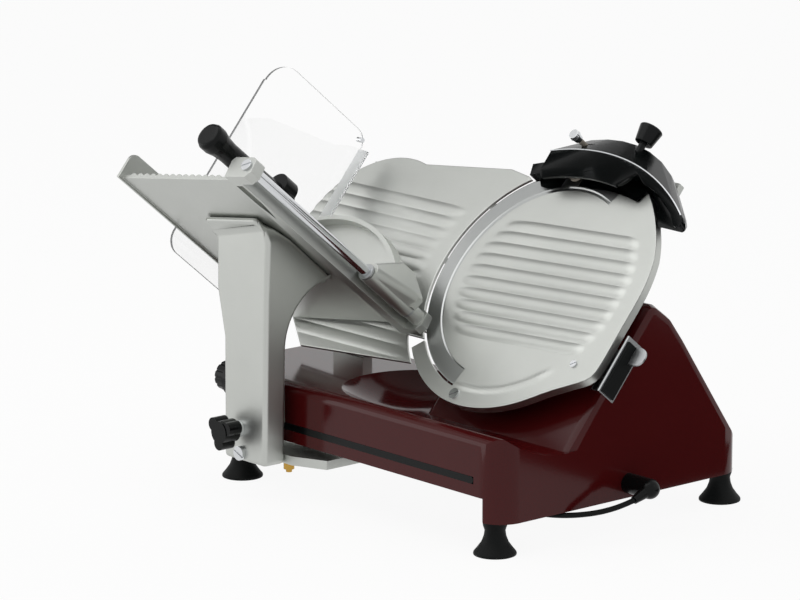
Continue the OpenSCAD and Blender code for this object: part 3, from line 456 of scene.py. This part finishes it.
def soft_edges(piece, width_mm):
    """A narrow bevel along every sharp edge."""
    edge = piece.modifiers.new("edge", "BEVEL")
    edge.width = width_mm * MM
    edge.segments = 2
    edge.limit_method = "ANGLE"
    edge.angle_limit = math.radians(SHARP)
    edge.miter_outer = "MITER_ARC"
    bpy.ops.object.modifier_apply(modifier="edge")
    smooth(piece, SHARP)


def soft_copy(node, width_mm):
    """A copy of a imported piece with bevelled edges, riding where the piece rides."""
    piece = merged_copy(node, "_soft")
    bpy.ops.object.mode_set(mode="OBJECT")
    soft_edges(piece, width_mm)
    stands_for(piece, node)
    return piece


edge_mm = {
    "base_casting": 1.6, "trim_strip": 0.4, "rubber_feet": 1.0, "cord_gland": 0.8, "mains_plug": 1.2,
    "coil_tie": 0.4, "guard_arm": 0.4, "guard_bracket": 0.5,
    "slice_deflector": 0.3, "sharpener_knob": 0.8, "index_knob": 0.8,
    "index_dial": 0.3, "switch_plate": 0.8, "slide_block": 1.5,
    "clamp_collar": 0.4, "stop_screw": 0.5, "adjusting_screw": 0.5, "food_tray": 0.5, "rail_bar": 1.5,
    "pusher_rod": 0.6, "grip_rod": 0.6, "guard_screws": 0.4, "clamp_knob": 1.2,
    "pusher_bush": 0.4, "pusher_head": 0.8, "start_button": 0.8, "stop_button": 0.8, "cover_tie_knob": 0.8,
    "deburr_button": 0.6, "cover_screws": 0.4, "slide_rod": 0.8, "carriage_grip": 0.8,
}
soft = {node: soft_copy(node, width) for node, width in edge_mm.items()}
print("softened", len(soft), "pieces,", sum(len(p.data.polygons) for p in soft.values()), "faces")

# %% [markdown]
# The column is a thick casting whose long edges are rounded about 6 mm, while its holes stay
# crisp. Its plate under the tray is shortened first, so that it ends just beside the column.
# Select Sharp Edges finds all sharp edges; those near the clamp's hole and in the hollow at the back
# are dropped again before the bevel.

# %% Round the column's long edges
PLATE_END = -338
PLATE_MOVE = 22
column = merged_copy("carriage_column", "_round")
bpy.ops.object.mode_set(mode="OBJECT")
uphill = math.sin(TRAY_ROLL)
tray_way = Vector((math.cos(TRAY_ROLL), uphill * math.sin(TILT), uphill * math.cos(TILT)))
for point in column.data.vertices:
    along_tray = (point.co - blade_centre).dot(tray_way)
    if point.co.z > 300 * MM and along_tray < PLATE_END * MM:
        point.co += PLATE_MOVE * MM * tray_way
bpy.ops.object.mode_set(mode="EDIT")
bpy.ops.mesh.select_mode(type="EDGE")
bpy.ops.mesh.select_all(action="DESELECT")
bpy.ops.mesh.edges_select_sharp(sharpness=math.radians(35))
bpy.ops.object.mode_set(mode="OBJECT")
clamp_axis = Vector((-162, 0, 93))
for edge in column.data.edges:
    if not edge.select:
        continue
    middle = sum((column.data.vertices[i].co for i in edge.vertices), Vector()) / 2 / MM - SHIFT
    near_hole = Vector((middle.x - clamp_axis.x, middle.z - clamp_axis.z)).length < 9
    in_hollow = -189 < middle.x < -118 and 108 < middle.z < 197 and middle.y > -262
    edge.select = not near_hole and not in_hollow
bpy.ops.object.mode_set(mode="EDIT")
bpy.ops.mesh.bevel(offset=6 * MM, segments=4, affect="EDGES")
bpy.ops.object.mode_set(mode="OBJECT")
smooth(column, 35)
stands_for(column, "carriage_column")
print("column has", len(column.data.polygons), "faces")

# %% [markdown]
# The blade cover and the gauge plate are pressed sheet with soft, lens-shaped ridges. A cut
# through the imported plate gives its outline. The outline is filled, raised to the plate's
# front, its rim is bevelled, and then it is sliced into a fine grid like a chessboard. Each
# grid point is lifted by a height that is worked out from where it lies. Below the cut the
# packed plate is kept, with its turned-back rim or its ribs.

# %% Tools for pressed plates
SLANT = Matrix.Translation(blade_centre) @ Matrix.Rotation(math.pi / 2 - TILT, 4, "X")


def cut(place, way, **keep):
    """One straight cut through everything."""
    bpy.ops.mesh.select_all(action="SELECT")
    bpy.ops.mesh.bisect(plane_co=place, plane_no=way, **keep)


def pressed_plate(node, cut_mm, top_mm, roll_mm, holes, lines, height):
    """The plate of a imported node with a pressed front; sizes in mm in the blade's own plane."""
    back = merged_copy(node, "_back")
    bpy.ops.object.mode_set(mode="OBJECT")
    back.data.transform(SLANT.inverted())
    front = bpy.data.objects.new(node + "_pressed", back.data.copy())
    bpy.context.scene.collection.objects.link(front)
    bpy.ops.object.mode_set(mode="EDIT")
    cut((0, 0, cut_mm * MM), (0, 0, 1), clear_outer=True)
    bpy.ops.object.mode_set(mode="OBJECT")

    only(front)
    bpy.ops.object.mode_set(mode="EDIT")
    cut((0, 0, cut_mm * MM), (0, 0, 1), clear_inner=True, clear_outer=True)
    bpy.ops.mesh.select_all(action="DESELECT")
    bpy.ops.object.mode_set(mode="OBJECT")
    for point in front.data.vertices:
        point.select = any((point.co.xy / MM - Vector(hole)).length < 9 for hole in holes)
    bpy.ops.object.mode_set(mode="EDIT")
    bpy.ops.mesh.delete(type="VERT")
    bpy.ops.mesh.select_all(action="SELECT")
    bpy.ops.mesh.edge_face_add()
    bpy.ops.mesh.extrude_region_move(TRANSFORM_OT_translate={"value": (0, 0, (top_mm - cut_mm) * MM)})
    bpy.ops.mesh.region_to_loop()
    bpy.ops.mesh.bevel(offset=roll_mm * MM, segments=3, affect="EDGES")
    for place, way in lines:
        cut(Vector(place) * MM, way)
    bpy.ops.object.mode_set(mode="OBJECT")
    for point in front.data.vertices:
        if point.co.z > (top_mm - 0.01) * MM:
            point.co.z += height(point.co.x / MM, point.co.y / MM) * MM

    bpy.ops.object.select_all(action="DESELECT")
    back.select_set(True)
    front.select_set(True)
    bpy.context.view_layer.objects.active = front
    bpy.ops.object.join()
    bpy.ops.object.mode_set(mode="EDIT")
    bpy.ops.mesh.select_all(action="SELECT")
    bpy.ops.mesh.remove_doubles(threshold=5e-6)
    bpy.ops.mesh.normals_make_consistent(inside=False)
    bpy.ops.object.mode_set(mode="OBJECT")
    smooth(front, 50)
    front.data.transform(SLANT)
    stands_for(front, node)
    return front


def lens(across, along, half_pitch, high, length):
    """Height of a ridge at a distance across from its crest and along from its end."""
    if along <= 0:
        return 0.0
    full = math.sqrt(1 - (1 - min(along / length, 1)) ** 2)
    half = half_pitch * (0.4 + 0.6 * full)
    return high * full * max(0.0, 1 - (across / half) ** 2)


PITCH = 17.5
across_steps = (0, 0.16, 0.28, 0.38, 0.46, 0.5, 0.54, 0.62, 0.72, 0.84)
print("ridges are", PITCH, "mm apart")

# %% [markdown]
# The cover's ridges run between two arcs about a point near its middle. They fade in slowly at
# the left and end short at the right. A lip follows the lower edge, well inside it.

# %% Blade cover
RIDGE_TURN = math.radians(3)
FIRST_RIDGE = 2.5
ARC_X = 7
ARC_W = -4
LEFT_ARC = 119
RIGHT_ARC = 158
cover_slope = math.tan(RIDGE_TURN)
cover_way = Vector((-math.sin(RIDGE_TURN), math.cos(RIDGE_TURN), 0))


def cover_height(x, w):
    """Ridges between two arcs, and a curved lip near the lower edge."""
    row = (w - x * cover_slope - FIRST_RIDGE) / PITCH
    crest = round(row)
    ridge = 0.0
    if -5 <= crest <= 4:
        left = ARC_X - math.sqrt(max(LEFT_ARC ** 2 - (w - ARC_W) ** 2, 0))
        right = ARC_X + math.sqrt(max(RIGHT_ARC ** 2 - (w - ARC_W) ** 2, 0))
        ridge = min(lens((row - crest) * PITCH, x - left, PITCH / 2, 1.7, 40),
                    lens((row - crest) * PITCH, right - x, PITCH / 2, 1.7, 16))
    turn = math.degrees(math.atan2(w, x))
    ends = min((turn + 101) / 8, (-42 - turn) / 8, 1)
    lip = 2.6 * math.exp(-((math.hypot(x, w) - 163) / 2.8) ** 2) * max(ends, 0)
    return ridge + lip


cover_lines = [((0, FIRST_RIDGE + PITCH * (k + s), 0), cover_way) for k in range(-6, 5) for s in across_steps]
cover_lines += [((0, w, 0), (0, 1, 0)) for w in range(-174, -98, 3)]
cover_lines += [((x, 0, 0), (1, 0, 0)) for x in range(-116, 170, 5)]
cover = pressed_plate("blade_cover", 2.0, 4.0, 0.8, [(-17, -176), (149, -97)], cover_lines, cover_height)
print("blade cover has", len(cover.data.polygons), "faces")

# %% [markdown]
# The gauge plate's ridges have the same pitch but are lower. They stop along an arc that runs
# round the blade.

# %% Gauge plate
LOWEST_RIDGE = -139
GAUGE_ARC = 197


def gauge_height(x, w):
    """Ridges that run off the left edge and fade out along an arc beside the blade."""
    row = (w - LOWEST_RIDGE) / PITCH
    crest = round(row)
    if not 0 <= crest <= 12:
        return 0.0
    return lens((row - crest) * PITCH, -math.sqrt(max(GAUGE_ARC ** 2 - w * w, 0)) - x, PITCH / 2, 1.3, 45)


gauge_lines = [((0, LOWEST_RIDGE + PITCH * (k + s), 0), (0, 1, 0))
               for k in range(-1, 13) for s in across_steps]
gauge_lines += [((x, 0, 0), (1, 0, 0)) for x in range(-460, -90, 6)]
gauge = pressed_plate("gauge_plate", -2.0, 0.0, 1.2, [], gauge_lines, gauge_height)
print("gauge plate has", len(gauge.data.polygons), "faces")

# %% [markdown]
# The sharpener cover is a thin moulded shell: its front wall is 4 mm thick, and the blade's edge
# runs up behind it. Two drums, cut out with the Boolean modifier, hollow it from below. One
# follows the front wall's lower edge and the other the arm at the right. Two flat cutters give
# the front wall its ends: a straight one at the left and a rounded step up to the arm.

# %% Hollow sharpener cover
def take_away(piece, cutter):
    """Cuts one object out of another and removes the cutter."""
    only(piece)
    hollow = piece.modifiers.new("hollow", "BOOLEAN")
    hollow.operation = "DIFFERENCE"
    hollow.solver = "EXACT"
    hollow.object = cutter
    bpy.ops.object.modifier_apply(modifier="hollow")
    bpy.data.objects.remove(cutter)


def flat_cutter(outline, low, high):
    """A prism over an outline in the blade's plane, between two heights, in mm."""
    data = bpy.data.meshes.new("cutter")
    data.from_pydata([Vector((x, w, low)) * MM for x, w in outline], [], [range(len(outline))])
    cutter = bpy.data.objects.new("cutter", data)
    bpy.context.scene.collection.objects.link(cutter)
    only(cutter)
    bpy.ops.object.mode_set(mode="EDIT")
    bpy.ops.mesh.select_all(action="SELECT")
    bpy.ops.mesh.extrude_region_move(TRANSFORM_OT_translate={"value": (0, 0, (high - low) * MM)})
    bpy.ops.mesh.select_all(action="SELECT")
    bpy.ops.mesh.normals_make_consistent(inside=False)
    bpy.ops.object.mode_set(mode="OBJECT")
    data.transform(SLANT)
    return cutter


BLADE_ROOM = 7
WALL_BACK = 28
shell = merged_copy("sharpener_housing", "_soft")
bpy.ops.object.mode_set(mode="OBJECT")
for x, w, radius in ((40, -160, 318), (100, 0, 163)):
    middle = Vector((x, w, (BLADE_ROOM + WALL_BACK) / 2)) * MM
    bpy.ops.mesh.primitive_cylinder_add(vertices=360, radius=radius * MM, depth=(WALL_BACK - BLADE_ROOM) * MM,
                                        location=SLANT @ middle, rotation=(math.pi / 2 - TILT, 0, 0))
    take_away(shell, bpy.context.object)
left_end = [(-120, 205), (-57, 205), (-57, 142), (-54, 135), (-46, 129), (-42, 100), (-120, 100)]
step_up = [(84, 141), (90, 143), (95, 147), (98.5, 152), (101, 158), (104, 162), (109, 161.5), (116, 157),
           (126, 150.5), (136, 144), (146, 137), (150, 115), (84, 115)]
take_away(shell, flat_cutter(left_end, 22, 45))
take_away(shell, flat_cutter(step_up, 7.5, 45))
soft_edges(shell, 0.8)
stands_for(shell, "sharpener_housing")
print("sharpener cover has", len(shell.data.polygons), "faces")

# %% [markdown]
# Two small pieces are touched up. The black strip on the guard bracket is thin and runs
# up round the bracket's tongue, so its upper end is moved along the blade's plane and its face
# is moved in. The clear sheet keeps its shape, and the faces on its edge take the sawn finish.

# %% Bracket strip and clear sheet
STRIP_MIDDLE = -90
STRIP_TOP = -46
STRIP_FACE = 207
strip = merged_copy("bracket_pad", "_soft")
bpy.ops.object.mode_set(mode="OBJECT")
strip.data.transform(SLANT.inverted())
for point in strip.data.vertices:
    if point.co.y > STRIP_MIDDLE * MM:
        point.co.y = STRIP_TOP * MM
    point.co.x = min(point.co.x, STRIP_FACE * MM)
strip.data.transform(SLANT)
soft_edges(strip, 0.8)
stands_for(strip, "bracket_pad")

sheet = merged_copy("finger_guard", "_clear")
bpy.ops.object.mode_set(mode="OBJECT")
sheet.data.materials.append(acrylic_edge)
face_way = max(sheet.data.polygons, key=lambda face: face.area).normal.copy()
for face in sheet.data.polygons:
    face.material_index = int(abs(face.normal.dot(face_way)) < 0.5)
smooth(sheet, SHARP)
stands_for(sheet, "finger_guard")
print("strip and clear sheet have", len(strip.data.polygons), "and", len(sheet.data.polygons), "faces")
